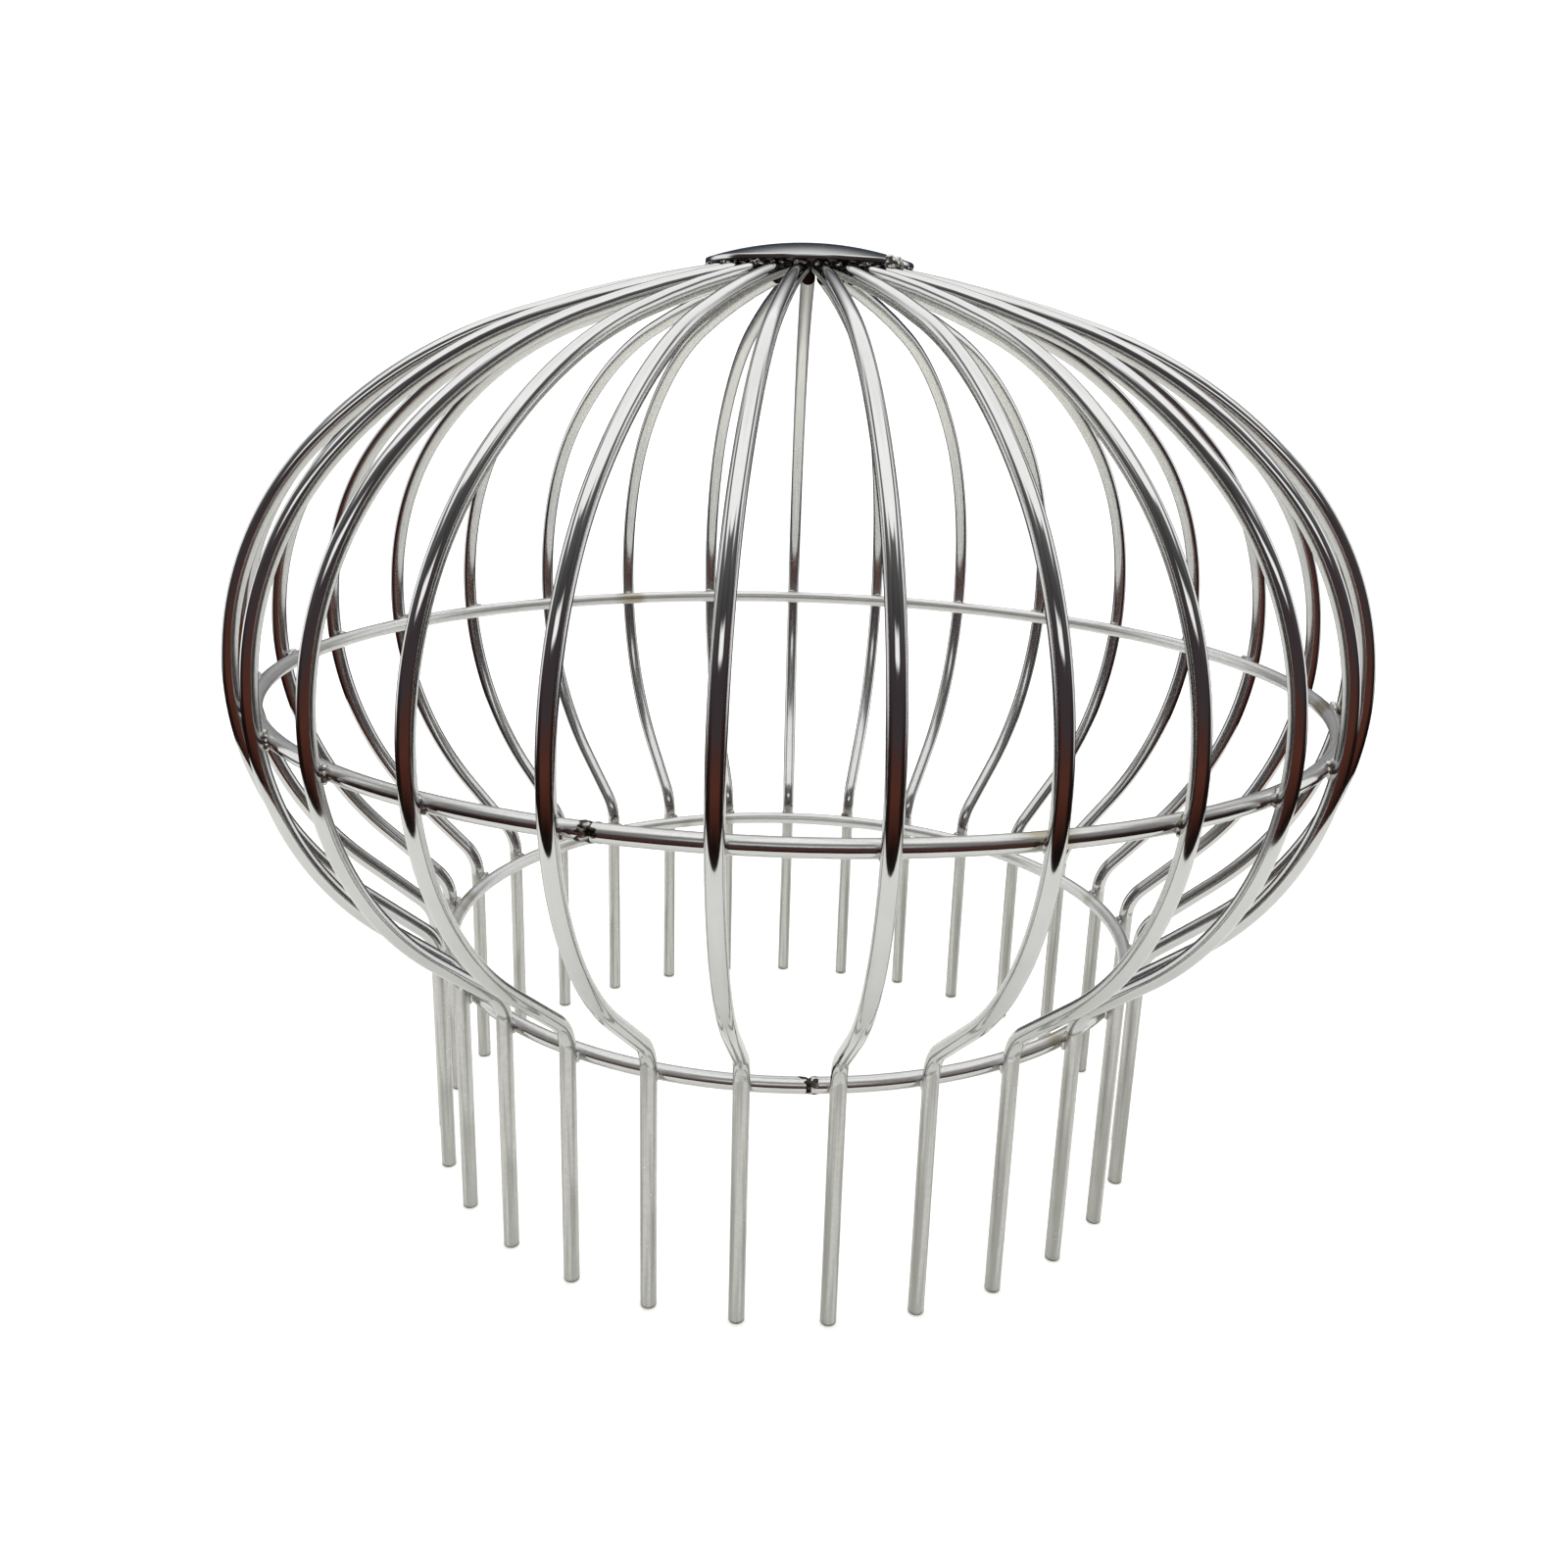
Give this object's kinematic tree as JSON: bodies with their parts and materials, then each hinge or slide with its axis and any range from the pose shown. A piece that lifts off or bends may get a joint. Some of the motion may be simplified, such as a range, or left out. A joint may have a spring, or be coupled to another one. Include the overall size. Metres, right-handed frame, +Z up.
{
  "type": "chimney bird guard",
  "caption": "Wire balloon guard for a flue: bent steel ribs welded round two inner hoops under a domed cap, with straight legs that push into the flue.",
  "frame": {"origin": "centre of the circle of leg tips, on the plane that the tips stand on", "axes": "+Z up along the cage's axis, from the legs towards the cap; +Y towards the one rib that stands exactly at the back"},
  "size_m": [0.2994, 0.2991, 0.2502],
  "materials": {
    "rib_wire": "polished",
    "hoop_wire": "polished",
    "cap_sheet": "polished",
    "weld_metal": "satin"
  },
  "bodies": {
    "root": {"cap": "cap_sheet", "cap_welds": "weld_metal", "girth_hoop": "hoop_wire", "girth_hoop_joint": "weld_metal", "girth_welds": "weld_metal", "neck_hoop": "hoop_wire", "neck_hoop_joint": "weld_metal", "neck_welds": "weld_metal", "rib_01": "rib_wire", "rib_02": "rib_wire", "rib_03": "rib_wire", "rib_04": "rib_wire", "rib_05": "rib_wire", "rib_06": "rib_wire", "rib_07": "rib_wire", "rib_08": "rib_wire", "rib_09": "rib_wire", "rib_10": "rib_wire", "rib_11": "rib_wire", "rib_12": "rib_wire", "rib_13": "rib_wire", "rib_14": "rib_wire", "rib_15": "rib_wire", "rib_16": "rib_wire", "rib_17": "rib_wire", "rib_18": "rib_wire", "rib_19": "rib_wire", "rib_20": "rib_wire", "rib_21": "rib_wire", "rib_22": "rib_wire", "rib_23": "rib_wire", "rib_24": "rib_wire", "rib_25": "rib_wire", "rib_26": "rib_wire", "rib_27": "rib_wire", "rib_28": "rib_wire", "rib_29": "rib_wire", "rim_tack": "weld_metal"}
  },
  "joints": []
}
